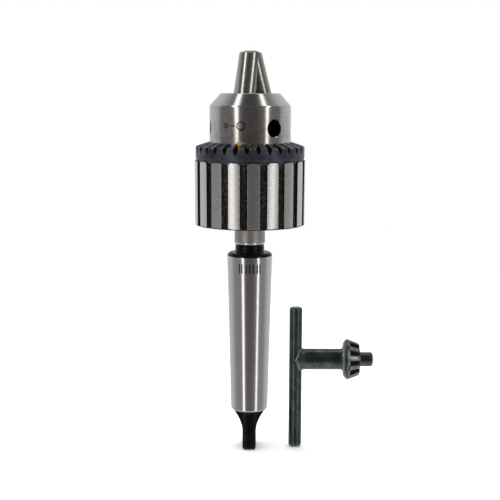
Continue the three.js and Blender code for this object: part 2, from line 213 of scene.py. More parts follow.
# ---------------------------------------------------------------- materials
class Nodes:
    """A short way to write a shader's nodes."""

    def __init__(self, tree):
        self.tree = tree
        tree.nodes.clear()

    def add(self, kind, **inputs):
        node = self.tree.nodes.new(kind)
        for name, value in inputs.items():
            self.put(node, name.replace("_", " "), value)
        return node

    def put(self, node, name, value):
        socket = node.inputs[int(name)] if name.isdigit() else node.inputs[name]
        if isinstance(value, bpy.types.NodeSocket):
            self.tree.links.new(value, socket)
        else:
            socket.default_value = value

    def place(self):
        """Object coordinates, in metres."""
        return self.tree.nodes.new("ShaderNodeTexCoord").outputs["Object"]

    def math(self, operation, a, b=0.0, clamp=False):
        node = self.tree.nodes.new("ShaderNodeMath")
        node.operation = operation
        node.use_clamp = clamp
        self.put(node, "0", a)
        self.put(node, "1", b)
        return node.outputs[0]

    def vector_math(self, operation, a, b=(0, 0, 0)):
        node = self.tree.nodes.new("ShaderNodeVectorMath")
        node.operation = operation
        self.put(node, "0", a)
        self.put(node, "1", b)
        return node.outputs["Value"]

    def ramp(self, value, stops):
        node = self.tree.nodes.new("ShaderNodeValToRGB")
        self.put(node, "Fac", value)
        elements = node.color_ramp.elements
        while len(elements) < len(stops):
            elements.new(0.5)
        for element, (position, colour) in zip(elements, stops):
            element.position = position
            element.color = (*colour, 1)
        return node.outputs["Color"]

    def grey_ramp(self, value, stops):
        return self.ramp(value, [(position, (level,) * 3) for position, level in stops])

    def mix(self, factor, a, b, blend="MIX"):
        node = self.tree.nodes.new("ShaderNodeMix")
        node.data_type = "RGBA"
        node.blend_type = blend
        self.put(node, "0", factor)
        self.put(node, "6", a)
        self.put(node, "7", b)
        return node.outputs[2]

    def noise(self, scale, detail=3.0, roughness=0.55):
        """Noise with so many grains to the millimetre along each axis."""
        node = self.tree.nodes.new("ShaderNodeMapping")
        self.put(node, "Vector", self.place())
        self.put(node, "Scale", tuple(s / MM for s in scale))
        noise = self.add("ShaderNodeTexNoise", Vector=node.outputs["Vector"], Scale=1.0)
        noise.inputs["Detail"].default_value = detail
        noise.inputs["Roughness"].default_value = roughness
        return noise.outputs["Fac"]

    def near(self, point_mm, radius_mm):
        """1 at a point, 0 beyond a radius that wanders a little."""
        distance = self.vector_math("DISTANCE", self.place(), tuple(c * MM for c in point_mm))
        share = self.math("DIVIDE", distance, radius_mm * MM)
        wander = self.math("MULTIPLY", self.noise((1.2, 1.2, 1.2), 2.0), 0.7)
        ragged = self.math("ADD", share, self.math("SUBTRACT", wander, 0.35))
        return self.grey_ramp(ragged, [(0.6, 1.0), (0.9, 0.0)])

    def bump(self, height, strength, distance_mm):
        node = self.add("ShaderNodeBump", Height=height, Strength=strength, Distance=distance_mm * MM)
        return node.outputs["Normal"]

    def shade_mix(self, factor, first, second):
        """Mixes two shader nodes."""
        node = self.add("ShaderNodeMixShader")
        self.put(node, "0", factor)
        self.tree.links.new(first.outputs[0], node.inputs[1])
        self.tree.links.new(second.outputs[0], node.inputs[2])
        return node

    def finish(self, shader, kind="ShaderNodeOutputMaterial"):
        output = self.add(kind)
        self.tree.links.new(shader.outputs[0], output.inputs["Surface"])


def rgba(colour, k=1.0):
    return (colour[0] * k, colour[1] * k, colour[2] * k, 1.0)


def new_material(name):
    material = bpy.data.materials.new(name)
    material.use_nodes = True
    return material, Nodes(material.node_tree)


def finish_metal(nodes, colour, roughness, metallic, normal):
    shader = nodes.add("ShaderNodeBsdfPrincipled", Metallic=metallic, Normal=normal)
    nodes.put(shader, "Base Color", colour)
    nodes.put(shader, "Roughness", roughness)
    nodes.finish(shader)


def smear_grease(nodes, colour, metallic, radius_mm):
    """Colour and metallic with a smear of yellow grease over them."""
    smear = nodes.near(GREASE_AT, radius_mm)
    return nodes.mix(smear, colour, rgba(GREASE)), nodes.math("SUBTRACT", metallic, smear, clamp=True)


def oil_film(nodes, colour, base, tint, film):
    """Brown streaks that thicken downwards, and dull rings where hands and tools have rubbed."""
    axes = nodes.tree.nodes.new("ShaderNodeSeparateXYZ")
    nodes.put(axes, "0", nodes.place())
    height = nodes.math("DIVIDE", axes.outputs["Z"], MM)
    fall = nodes.math("SUBTRACT", OIL_NONE_Z, height)
    low = nodes.math("DIVIDE", fall, OIL_NONE_Z - OIL_FULL_Z, clamp=True)
    streaks = nodes.grey_ramp(nodes.noise((0.9, 0.9, 0.35), 5.0, 0.7), [(0.42, 0.0), (0.62, film)])
    colour = nodes.mix(nodes.math("MULTIPLY", streaks, low), colour, rgba(tint, 0.45))
    worn_rings = nodes.grey_ramp(nodes.noise((0.3, 0.3, 2.6), 3.0), [(0.5, 0.0), (0.68, 0.5 * film)])
    return nodes.mix(worn_rings, colour, rgba(base, 0.62))


def turned_steel(name, base, rough, lines=(0.12, 0.12, 7.0), stain=0.1, film=0.0, grease=False):
    """Steel turned or ground round its axis: fine rings, a faint mottle and a little brown tarnish."""
    tint = (0.5, 0.42, 0.3)
    material, nodes = new_material(name)
    rings = nodes.noise(lines, 4.0, 0.7)
    mottle = nodes.noise((0.35, 0.35, 0.35), 4.0)
    speck = nodes.noise((2.6, 2.6, 2.6), 2.0)
    lined = nodes.grey_ramp(rings, [(0.3, 0.0), (0.7, 1.0)])
    colour = nodes.mix(lined, rgba(base, 0.94), rgba(base, 1.03))
    patchy = nodes.grey_ramp(mottle, [(0.45, 0.0), (0.75, stain)])
    colour = nodes.mix(patchy, colour, rgba(tint))
    dots = nodes.grey_ramp(speck, [(0.68, 0.0), (0.74, stain)])
    colour = nodes.mix(dots, colour, rgba(base, 0.4))
    roughness = nodes.math("ADD", rough - 0.035, nodes.math("MULTIPLY", rings, 0.05))
    roughness = nodes.math("ADD", roughness, nodes.math("MULTIPLY", mottle, 0.03))
    metallic = 1.0
    if film:
        colour = oil_film(nodes, colour, base, tint, film)
    if grease:
        colour, metallic = smear_grease(nodes, colour, metallic, 3.0)
    finish_metal(nodes, colour, roughness, metallic, nodes.bump(rings, 0.15, 0.004))
    return material


def oxide_steel(name, base, rough, speckle=0.25, wear=0.0, grain=3.0, start=0.6, relief=0.5, grease=False):
    """Black oxide steel: cloudy blue-black, fine pale speckles, and edges worn to metal."""
    material, nodes = new_material(name)
    cloud = nodes.noise((0.3, 0.3, 0.3), 4.0)
    fine = nodes.noise((grain, grain, grain), 3.0, 0.7)
    cloudy = nodes.grey_ramp(cloud, [(0.35, 0.0), (0.68, 1.0)])
    colour = nodes.mix(cloudy, rgba(base, 0.62), rgba(base, 1.3))
    dots = nodes.grey_ramp(fine, [(start, 0.0), (start + 0.12, speckle)])
    colour = nodes.mix(dots, colour, rgba((0.42, 0.41, 0.38)))
    if wear:
        edge = nodes.add("ShaderNodeNewGeometry").outputs["Pointiness"]
        ragged = nodes.math("MULTIPLY", fine, 0.06)
        worn = nodes.grey_ramp(nodes.math("ADD", edge, ragged), [(0.56, 0.0), (0.62, wear)])
        colour = nodes.mix(worn, colour, rgba((0.55, 0.52, 0.45)))
    metallic = 0.9
    if grease:
        colour, metallic = smear_grease(nodes, colour, metallic, 2.0)
    roughness = nodes.math("ADD", rough - 0.1, nodes.math("MULTIPLY", fine, 0.2))
    finish_metal(nodes, colour, roughness, metallic, nodes.bump(fine, relief, 0.03))
    return material


# ---------------------------------------------------------------- mesh tools
def rounded(corners, steps=5, closed=False):
    """A profile from (radius, height, rounding) corners, each rounded corner as a short curve."""
    count = len(corners)
    points = []
    for i, (r, z, rounding) in enumerate(corners):
        here = Vector((r, z))
        if rounding == 0 or (not closed and i in (0, count - 1)):
            points.append(here)
            continue
        before = Vector(corners[i - 1][:2]) - here
        after = Vector(corners[(i + 1) % count][:2]) - here
        start = here + before.normalized() * min(rounding, 0.45 * before.length)
        end = here + after.normalized() * min(rounding, 0.45 * after.length)
        for k in range(steps + 1):
            t = k / steps
            points.append(start * (1 - t) ** 2 + here * 2 * t * (1 - t) + end * t * t)
    return points


def mesh_from(name, vertices, faces, merge=1e-5):
    """A mesh in metres from millimetre points, with merged doubles and its normals outwards."""
    mesh = bpy.data.meshes.new(name)
    mesh.from_pydata([Vector(v) for v in vertices], [], faces)
    work = bmesh.new()
    work.from_mesh(mesh)
    bmesh.ops.remove_doubles(work, verts=work.verts, dist=merge)
    bmesh.ops.dissolve_degenerate(work, edges=work.edges, dist=merge / 10)
    bmesh.ops.recalc_face_normals(work, faces=work.faces)
    bmesh.ops.scale(work, vec=(MM, MM, MM), verts=work.verts)
    work.to_mesh(mesh)
    work.free()
    return mesh


def grid(rows, closed_rows=False):
    """Points and faces of a skin over rows of equal length, each row going once round."""
    count = len(rows[0])
    last = len(rows) if closed_rows else len(rows) - 1
    faces = []
    for j in range(last):
        upper = (j + 1) % len(rows)
        for i in range(count):
            k = (i + 1) % count
            faces.append((j * count + i, j * count + k, upper * count + k, upper * count + i))
    return [point for row in rows for point in row], faces


def piece_from(mesh):
    piece = bpy.data.objects.new(mesh.name, mesh)
    bpy.context.scene.collection.objects.link(piece)
    return piece


def circle(radius, z, turns):
    """Points at a radius and height, one for each turn in radians."""
    return [(radius * math.cos(turn), radius * math.sin(turn), z) for turn in turns]


def lathe(name, profile, segments, closed=False):
    """A turned piece from (radius, height) points."""
    turns = [2 * math.pi * i / segments for i in range(segments)]
    rows = [circle(r, z, turns) for r, z in profile]
    return piece_from(mesh_from(name, *grid(rows, closed)))


def prism_across_y(name, outline, half_depth):
    """A prism from (x, z) points, centred on Y = 0."""
    rows = [[(x, y, z) for x, z in outline] for y in (-half_depth, half_depth)]
    points, faces = grid(rows)
    count = len(outline)
    faces += [tuple(range(count)), tuple(range(2 * count - 1, count - 1, -1))]
    return piece_from(mesh_from(name, points, faces))


def transform(piece, matrix):
    """Moves a piece's mesh by a matrix whose translation is in millimetres."""
    placed = matrix.copy()
    placed.translation = matrix.translation * MM
    piece.data.transform(placed)
    return piece


def copy_of(piece, matrix):
    clone = piece.copy()
    clone.data = piece.data.copy()
    bpy.context.scene.collection.objects.link(clone)
    return transform(clone, matrix)


def cut(piece, tools, operation="DIFFERENCE"):
    """Cuts a piece by each tool and removes the tools."""
    for tool in tools:
        modifier = piece.modifiers.new("cut", "BOOLEAN")
        modifier.operation = operation
        modifier.solver = "EXACT"
        modifier.object = tool
        bpy.context.view_layer.update()
        evaluated = piece.evaluated_get(bpy.context.evaluated_depsgraph_get())
        mesh = bpy.data.meshes.new_from_object(evaluated)
        piece.modifiers.clear()
        old = piece.data
        mesh.name = old.name
        piece.data = mesh
        bpy.data.meshes.remove(old)
    for tool in tools:
        bpy.data.objects.remove(tool, do_unlink=True)
    return piece


def shade(piece, sharp_degrees=32):
    """Smooth shading with sharp creases, and flats that stay flat beside rounded edges."""
    work = bmesh.new()
    work.from_mesh(piece.data)
    limit = math.radians(sharp_degrees)
    for face in work.faces:
        face.smooth = True
    for edge in work.edges:
        edge.smooth = len(edge.link_faces) == 2 and edge.calc_face_angle(0) < limit
    work.to_mesh(piece.data)
    work.free()
    normals = piece.modifiers.new("flat faces stay flat", "WEIGHTED_NORMAL")
    normals.keep_sharp = True
    normals.weight = 80


def paint(piece, materials, choose=None):
    """Gives a piece its materials; choose says which one a face takes from its centre in millimetres."""
    piece.data.materials.clear()
    for material in materials:
        piece.data.materials.append(material)
    for face in piece.data.polygons:
        face.material_index = choose(face.center / MM) if choose else 0


def install(piece, name, body, nodes):
    """Names a piece, shades it, rides it on its body, and hides the CAD nodes that it stands in for."""
    piece.name = name
    piece.data.name = name
    shade(piece)
    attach(piece, body)
    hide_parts(*nodes)
    return piece


# ---------------------------------------------------------------- body
def jaw_axis_matrix(z, azimuth):
    """Places +Z on a jaw's axis, starting at a height."""
    place = Matrix.Translation((jaw_axis_radius(z), 0, z)) @ Matrix.Rotation(-JAW_TILT, 4, "Y")
    return around(azimuth) @ place


def jaw_hole(azimuth):
    """A cutter from behind the tail of an open jaw to beyond the nose."""
    behind = JAW_TRAVEL + 2
    beyond = 4
    length = behind + (NOSE_Z - JAW_TAIL_Z) / math.cos(JAW_TILT) + beyond
    z = JAW_TAIL_Z - behind * math.cos(JAW_TILT)
    r = JAW_R + JAW_CLEARANCE
    tool = lathe("jaw_hole", [(0, 0), (r, 0), (r, length), (0, length)], SMALL_SEGMENTS)
    return transform(tool, jaw_axis_matrix(z, azimuth))


def radial_tool(name, profile, azimuth, z, segments, closed=False):
    """A turned cutting tool whose axis points out of the chuck's axis at an azimuth and height."""
    tool = lathe(name, profile, segments, closed)
    lay_down = Matrix.Rotation(math.pi / 2, 4, "Y")
    return transform(tool, around(azimuth) @ Matrix.Translation((0, 0, z)) @ lay_down)


def pilot_hole(azimuth):
    outside = BODY_R + 2
    wide = HOLE_R + HOLE_EDGE
    profile = [
        (0, HOLE_BOTTOM - 1.2), (HOLE_R, HOLE_BOTTOM), (HOLE_R, HOLE_MOUTH),
        (wide, HOLE_MOUTH + HOLE_EDGE), (wide, outside), (0, outside),
    ]
    return radial_tool("pilot_hole", profile, azimuth, HOLE_Z, HOLE_SEGMENTS)


def mark_bar(floor, half_length, half_height, azimuth, z):
    """A cutter that engraves a bar down to a radius."""
    past = floor + 1.2
    outline = [(floor, -half_height), (past, -half_height), (past, half_height), (floor, half_height)]
    bar = prism_across_y("mark", outline, half_length)
    return transform(bar, around(azimuth) @ Matrix.Translation((0, 0, z)))


def capacity_mark():
    """A generic engraving: a small ring, a dash and a large ring."""
    tools = []
    for azimuth, outer in MARK_RINGS:
        inner = outer - MARK_LINE
        ring = [(inner, MARK_FLOOR), (outer, MARK_FLOOR), (outer, BODY_R + 1), (inner, BODY_R + 1)]
        tools.append(radial_tool("mark", ring, azimuth, MARK_Z, MARK_SEGMENTS, closed=True))
    return tools + [mark_bar(MARK_FLOOR, *DASH_HALVES, DASH_AZIMUTH, MARK_Z)]


def body_profile():
    """The body's outside, then its bores from the nose back to the taper socket."""
    mouth_r, end_r = (short_taper_radius(z) + GAP for z in (BODY_REAR_Z, SOCKET_TOP))
    return rounded([
        (mouth_r, BODY_REAR_Z, 0.7), (COLLAR_R, BODY_REAR_Z, 0.8), (COLLAR_R, GROOVE_BOTTOM, 0.3),
        (GROOVE_R, GROOVE_BOTTOM, 0.4), (GROOVE_R, GROOVE_TOP, 0.4), (BODY_R, GROOVE_TOP, 0.3),
        (BODY_R, BEVEL_Z, 0.35), (NOSE_R, NOSE_Z, 0.3), (BORE_R, NOSE_Z, 0.5),
        (BORE_R, BORE_BOTTOM, 0.3), (KNOCK_OUT_R, BORE_BOTTOM - 1, 0.2), (KNOCK_OUT_R, SOCKET_TOP, 0.2),
        (end_r, SOCKET_TOP, 0.2),
    ], closed=True)


def make_body(steel, dark):
    piece = lathe("chuck_body", body_profile(), SEGMENTS, closed=True)
    tools = [jaw_hole(azimuth) for azimuth in thirds(JAW_AZIMUTH)]
    tools += [pilot_hole(azimuth) for azimuth in thirds(HOLE_AZIMUTH)]
    cut(piece, tools + capacity_mark())
    mark_reach = MARK_RINGS[-1][1] + 0.15

    def which(place):
        """Dark on the floors of the marks, and painted shade inside the pilot holes."""
        r = math.hypot(place.x, place.y)
        engraved = BODY_R - 0.3 < r < BODY_R - 0.05 and place.x < 0 and place.y < 0
        in_mark = engraved and abs(place.z - MARK_Z) < mark_reach
        in_hole = BORE_R + 0.5 < r < BODY_R - 0.8 and abs(place.z - HOLE_Z) < HOLE_R + 1
        return 1 if in_mark or in_hole else 0

    paint(piece, [steel, dark], which)
    return install(piece, "chuck_body", "frame", ["body"])


# ---------------------------------------------------------------- arbor
def tang_cheek(side):
    """A cutter for one flat of the tang and the arc that runs out of it into the taper."""
    outside, below = 14, -0.8
    edge = [(TANG_HALF - 1.6, below), (TANG_HALF - 0.25, 0.55), (TANG_HALF, 1.1), (TANG_HALF, FILLET_START)]
    steps = 28
    for i in range(1, steps + 1):
        turn = math.pi - FILLET_ARC * i / steps
        x = TANG_HALF + FILLET_R * (1 + math.cos(turn))
        edge.append((x, FILLET_START + FILLET_R * math.sin(turn)))
    edge += [(outside, edge[-1][1]), (outside, below)]
    return prism_across_y("cheek", [(side * x, z) for x, z in edge], 20)


def arbor_marks():
    """Generic etched marks: a short row of upright bars below the arbor's shoulder."""
    floor = morse_radius(ETCH_Z) - ETCH_DEPTH
    return [mark_bar(floor, 0.25, ETCH_HALF, azimuth, ETCH_Z) for azimuth in ETCH_AZIMUTHS]


def arbor_profile():
    top = ARBOR_HIGH.z
    top_r = short_taper_radius(top)
    shoulder_r = morse_radius(MORSE["top"])
    return rounded([
        (0, 0, 0), (TANG_R, 0, 1.1), (TANG_R, TANG_TOP - 0.5, 0.3), (morse_radius(TANG_TOP), TANG_TOP, 0.4),
        (shoulder_r, MORSE["top"], 0.5), (shoulder_r - SHOULDER_INSET, NECK_BOTTOM, 0.5),
        (NECK_R + 0.15, NECK_BOTTOM, 0.5), *((NECK_R + change, z, 0.3) for z, change in NECK_GROOVES),
        (NECK_R - 0.1, NECK_TOP, 0.2), (short_taper_radius(DULL_ABOVE) - 0.12, NECK_TOP + 0.2, 0.3),
        (short_taper_radius(DULL_ABOVE), DULL_ABOVE, 0.2), (top_r, top - 0.5, 0.2), (top_r - 0.5, top, 0.2),
        (SHORT_TAPER["centre_r"], top, 0.1), (0, top - SHORT_TAPER["centre_depth"], 0),
    ])


def banded(profile, longest=8, pieces=12):
    """A profile with its long stretches divided, so that a face's centre tells where it is."""
    bands = []
    for here, after in zip(profile, profile[1:]):
        bands.append(here)
        if after[1] - here[1] > longest:
            bands += [here.lerp(after, i / pieces) for i in range(1, pieces)]
    return bands + [profile[-1]]


def make_arbor(steel, oxide, dull):
    piece = lathe("arbor_piece", banded(arbor_profile()), SEGMENTS)
    cut(piece, [tang_cheek(1), tang_cheek(-1)] + arbor_marks())

    def which(place):
        """Oxide on the tang, the shoulder and the etched marks; on the short taper rougher steel whose
        darker colour is painted shade from the sleeve above.
        """
        r = math.hypot(place.x, place.y)
        shoulder = MORSE["top"] - 0.4 < place.z < NECK_TOP
        on_cheek = place.z < TANG_TOP + 4 and r < morse_radius(place.z) - 0.25
        etched = abs(place.z - ETCH_Z) < ETCH_HALF + 0.1 and r < morse_radius(place.z) - 0.03
        if place.z < TANG_TOP or shoulder or on_cheek or etched:
            return 1
        return 2 if place.z > DULL_ABOVE - 0.4 else 0

    paint(piece, [steel, oxide, dull], which)
    return install(piece, "arbor_piece", "frame", ["arbor"])


# ---------------------------------------------------------------- sleeve
def smooth_step(t):
    t = min(1.0, max(0.0, t))
    return t * t * (3 - 2 * t)


def land_height(across, z):
    """1 on a land, 0 in a flute: a tongue with a round-cornered top end."""
    dx, dz = across - LAND_HALF + LAND_CORNER, z - LAND_TOP + LAND_CORNER
    outside = math.hypot(max(dx, 0), max(dz, 0)) - LAND_CORNER
    inside = min(max(dx, dz), 0.0)
    return smooth_step(-(outside + inside) / LAND_FLANK)


def mirrored(side):
    """Samples from the middle to one side, with those of the other side before them."""
    return sorted(set([-s for s in side[:-1]] + side))


def barrel_samples():
    """Distances from the middle of a land, close together at its edges."""
    whole = math.pi / LANDS * LAND_R_FRONT
    flute = whole - LAND_HALF - 0.3
    side = [LAND_HALF * share for share in (0.0, 0.3, 0.6, 0.8, 0.9)]
    side += [LAND_HALF - 0.24 + 0.04 * i for i in range(8)]
    side += [LAND_HALF + 0.3 + flute * share for share in (0.0, 0.35, 0.7, 1.0)]
    return mirrored(side)


def make_barrel(ground, oxide):
    """The fluted part of the sleeve, with the seats of the nut and of the body's collar inside."""
    low = SLEEVE_LOW.z
    bore = COLLAR_R + GAP
    seat = NUT_HIGH.x + GAP
    relief = bore + 0.5
    samples = barrel_samples()
    centres = [math.radians(LAND_AZIMUTH - 90 + 360 / LANDS * i) for i in range(LANDS)]
    turns = [centre + s / LAND_R_FRONT for centre in centres for s in samples]
    across = [abs(s) for s in samples] * LANDS

    def fluted(z, land_r, inset=0.0):
        row = []
        for turn, distance in zip(turns, across):
            raised = land_height(distance, z)
            r = FLUTE_R + (land_r - FLUTE_R - inset) * raised
            row.append((r * math.cos(turn), r * math.sin(turn), z))
        return row

    heights = [low + 0.45, low + 0.7] + [low + 1.2 + i * 1.5 for i in range(16)]
    heights += [LAND_TOP - 1.4 + 0.1 * i for i in range(17)]
    rows = [circle(bore, low + 0.3, turns), circle(bore + 0.3, low, turns)]
    rows += [fluted(low, LAND_R_REAR, 0.45), fluted(low + 0.13, LAND_R_REAR, 0.13)]
    rows += [fluted(z, land_radius(z)) for z in heights]
    rows += [circle(seat, heights[-1], turns), circle(seat, NUT_LOW.z - 0.2, turns)]
    rows += [circle(relief, NUT_LOW.z - 0.9, turns), circle(relief, low + COLLAR_SEAT + 0.5, turns)]
    rows.append(circle(bore, low + COLLAR_SEAT, turns))
    piece = piece_from(mesh_from("sleeve_barrel", *grid(rows, closed_rows=True)))

    def which(place):
        """Ground on the lands' faces, oxide in the flutes, on the rear chamfer and inside."""
        r = math.hypot(place.x, place.y)
        return 0 if r > land_radius(place.z) - 0.06 and place.z > low + 0.3 else 1

    paint(piece, [ground, oxide], which)
    return install(piece, "sleeve_barrel", "sleeve", ["sleeve"])


def gap_height(across):
    """Height of a tooth's profile above the root, from 0 to 1, by distance from the gap's middle."""
    root, crest = 0.18, 1.25
    share = min(1.0, max(0.0, (across - root) / (crest - root)))
    return 0.7 * share + 0.3 * smooth_step(share)


def make_ring_gear(oxide, dark):
    """The bevel ring gear. Every tooth line runs to the pitch cones' apex at the pilot holes' height."""
    half_pitch = math.pi * GEAR_R / GEAR_TEETH
    samples = mirrored([0.0, 0.12, 0.24, 0.36, 0.5, 0.66, 0.82, 0.98, 1.12, 1.26, 1.4, 1.6, 1.9, half_pitch])
    centres = [math.radians(TOOTH_GAP_AZIMUTH - 90 + 360 / GEAR_TEETH * i) for i in range(GEAR_TEETH)]
    turns = [centre + s / GEAR_R for centre in centres for s in samples]
    across = [abs(s) for s in samples] * GEAR_TEETH

    def toothed(share, drop=0.0):
        r = GEAR_R * share
        row = []
        for turn, distance in zip(turns, across):
            z = ROOT_Z + (CREST_Z - ROOT_Z) * gap_height(distance)
            row.append((r * math.cos(turn), r * math.sin(turn), HOLE_Z + (z - HOLE_Z) * share - drop))
        return row

    inner = BODY_R + GAP + 0.05
    seat = NUT_HIGH.x + GAP
    seat_top = NUT_HIGH.z + GAP
    skirt = LAND_TOP - 0.9  # the ring reaches down behind the tops of the lands
    outside = [
        (seat, skirt), (FLUTE_R - 0.2, skirt), (FLUTE_R + 0.12, skirt + 0.35),
        (FLUTE_R + 0.14, RING_BOTTOM - 0.15), (GEAR_R - 0.1, RING_BOTTOM),
        (GEAR_R, RING_BOTTOM + 0.2), (GEAR_R, RING_BOTTOM + 1.0),
    ]
    rows = [circle(r, z, turns) for r, z in outside]
    rows += [toothed(1.0, 0.3), toothed(0.9965, 0.1)]
    rows += [toothed(share) for share in (0.985, 0.94, 0.88, 0.82, (inner + 0.15) / GEAR_R)]
    rows += [toothed(inner / GEAR_R, 0.15), circle(inner, seat_top, turns), circle(seat, seat_top, turns)]
    piece = piece_from(mesh_from("ring_gear", *grid(rows, closed_rows=True)))

    def which(place):
        """Painted shade in the gaps, from half a millimetre below the crests down to the roots."""
        r = math.hypot(place.x, place.y)
        share = r / GEAR_R
        below_crest = HOLE_Z - (HOLE_Z - CREST_Z) * share - place.z
        return 1 if r < GEAR_R - 0.2 and 0.5 * share < below_crest < 3 * share else 0

    paint(piece, [oxide, dark], which)
    return install(piece, "ring_gear", "sleeve", ["sleeve"])


# ---------------------------------------------------------------- jaws
def jaw_thread_comb():
    """A comb round the chuck's axis that cuts the thread teeth in the back of a jaw."""
    pitch, depth, clear = THREAD["pitch"], THREAD["depth"], THREAD["clear"]
    tooth = ((-0.5, -clear), (-0.18, depth), (0.12, depth), (0.5, -clear))  # share of the pitch, and inset
    points = []
    for i in range(THREAD["teeth"]):
        middle = JAW_TAIL_Z + JAW_TAIL_CHAMFER + i * pitch
        for offset, inset in tooth:
            z = middle + offset * pitch
            points.append((jaw_axis_radius(z) + JAW_CROWN - inset, z))
    outside = 30
    points += [(outside, points[-1][1]), (outside, points[0][1])]
    return lathe("comb", points, CAP_SEGMENTS, closed=True)


def jaw_wedge():
    """The 120 degree wedge that a jaw's two gripping flats make."""
    reach = 20
    far_x = JAW_EDGE_X + reach
    far_y = reach * math.sqrt(3)
    corners = [(JAW_EDGE_X, 0), (far_x, -far_y), (far_x, far_y)]
    rows = [[(x, y, z) for x, y in corners] for z in (JAW_TAIL_Z - 10, JAW_TIP_Z + 10)]
    points, faces = grid(rows)
    return piece_from(mesh_from("wedge", points, faces + [(0, 1, 2), (5, 4, 3)]))


def jaw_cap():
    """A turned form whose top is the rounded tip of the closed jaws."""
    outside, below = 30, JAW_TAIL_Z - 10
    fall = JAW_TIP_SLOPE * (outside - JAW_TIP_FLAT)
    profile = rounded([
        (0, below, 0), (outside, below, 0), (outside, JAW_TIP_Z - fall, 0),
        (JAW_TIP_FLAT, JAW_TIP_Z, 1.3), (0, JAW_TIP_Z, 0),
    ])
    return lathe("cap", profile, CAP_SEGMENTS)


def make_jaw_blank():
    length = (JAW_TIP_Z - JAW_TAIL_Z) / math.cos(JAW_TILT) + 3
    profile = rounded([
        (0, 0, 0), (JAW_R - JAW_TAIL_CHAMFER, 0, 0.3), (JAW_R, JAW_TAIL_CHAMFER, 0.4), (JAW_R, length, 0),
        (0, length, 0),
    ])
    blank = lathe("jaw", profile, JAW_SEGMENTS)
    transform(blank, jaw_axis_matrix(JAW_TAIL_Z, 90))
    cut(blank, [jaw_wedge(), jaw_cap()], "INTERSECT")
    return cut(blank, [jaw_thread_comb()])


def make_jaws(steel, dark):
    blank = make_jaw_blank()
    edge = blank.modifiers.new("edge", "BEVEL")
    edge.width = 0.12 * MM
    edge.segments = 2
    edge.limit_method = "ANGLE"
    edge.angle_limit = math.radians(50)

    def which(place):
        """Dark on the two flats."""
        # Painted shade on the two flats, for the shade in the narrow V between neighbouring jaws.
        off_flat = abs(place.y) - math.sqrt(3) * (place.x - JAW_EDGE_X)
        return 1 if abs(off_flat) < 0.15 else 0

    paint(blank, [steel, dark], which)
    for number, azimuth in enumerate(thirds(JAW_AZIMUTH), 1):
        jaw = copy_of(blank, around(azimuth))
        install(jaw, f"jaw_{number}_piece", f"jaw_{number}", [f"jaw_{number}"])
    bpy.data.objects.remove(blank, do_unlink=True)


# ---------------------------------------------------------------- key
def tooth_profile(turn, depth):
    """1 on the tip of a tooth and 1 - depth between teeth, by angle from the middle of a tooth."""
    start = 0.7 * TOOTH_TIP_HALF
    return 1 - depth * smooth_step((abs(turn) - start) / (TOOTH_ROOT_HALF - start))


def key_shaft_rows():
    """Rings of points from the end at the bar, along the stem and the pinion, to the tip of the pilot."""
    tooth = 2 * math.pi / PINION_TEETH
    degrees = (0, 2, 3.2, 4.2, 5.2, 6.4, 7.8, 9.2, 10.6, 11.8, 13.2)
    side = [math.radians(d) for d in degrees] + [tooth / 2]
    samples = mirrored(side)
    turns = [i * tooth + s for i in range(PINION_TEETH) for s in samples]

    def ring(r, x):
        return [(x, r * math.cos(turn), KEY_AXIS_Z + r * math.sin(turn)) for turn in turns]

    def toothed(x, depth=1.0, shrink=0.0):
        k = (PINION_X + PINION_APEX - x) / PINION_APEX
        row = []
        for turn, s in zip(turns, samples * PINION_TEETH):
            r = k * (PINION_ROOT + (PINION_TIP - PINION_ROOT) * tooth_profile(s, depth)) - shrink
            row.append((x, r * math.cos(turn), KEY_AXIS_Z + r * math.sin(turn)))
        return row

    start = KEY_LOW.x - 1.5
    flare = [
        (0, start), (STEM_R + 0.25, start), (STEM_R + 0.45, BAR_X + 1.9),
        (STEM_R + 0.3, BAR_X + 2.6), (STEM_R, BAR_X + 3.4),
    ]
    stem = rounded([
        (STEM_R, BAR_X + 4, 0), (STEM_R, COLLAR_X, 0.8), (PINION_TIP - 1.3, COLLAR_X + 0.5, 0.4),
        (PINION_TIP - 0.15, COLLAR_X + 1.5, 0.5), (PINION_TIP - 0.05, PINION_X - 0.5, 0),
    ])
    pilot = rounded([
        (PILOT_R + 0.9, PINION_FRONT, 0), (PILOT_R, PINION_FRONT, 0.25), (PILOT_R, KEY_HIGH.x - 0.6, 0.3),
        (PILOT_R - 0.7, KEY_HIGH.x, 0.3), (0, KEY_HIGH.x, 0),
    ])
    run_in = ((-0.2, 0.0), (0, 0.08), (0.3, 0.5), (0.6, 0.85), (0.95, 1.0))  # how the gaps deepen
    rows = [ring(r, x) for r, x in flare + stem]
    rows += [toothed(PINION_X + past, depth) for past, depth in run_in]
    rows += [toothed(PINION_X + 2.6), toothed(PINION_FRONT - 0.3)]
    rows += [toothed(PINION_FRONT - 0.08, shrink=0.12), toothed(PINION_FRONT, shrink=0.4)]
    return rows + [ring(r, x) for r, x in pilot]


def key_saddle():
    """A form that narrows the stem's end to a point at the bar's middle, seen from the side."""
    width, half, far = 1.15 * STEM_R, 12, 60
    saddle = prism_across_y("saddle", [
        (KEY_LOW.x, 0), (SADDLE_X, -width), (SADDLE_X, -half), (far, -half),
        (far, half), (SADDLE_X, half), (SADDLE_X, width),
    ], 20)
    return transform(saddle, Matrix.Translation((0, 0, KEY_AXIS_Z)))


def key_cross_hole():
    r, half = BAR_R + 0.08, 14
    hole = lathe("cross_hole", [(0, -half), (r, -half), (r, half), (0, half)], SMALL_SEGMENTS)
    return transform(hole, Matrix.Translation((BAR_X, 0, KEY_AXIS_Z)))


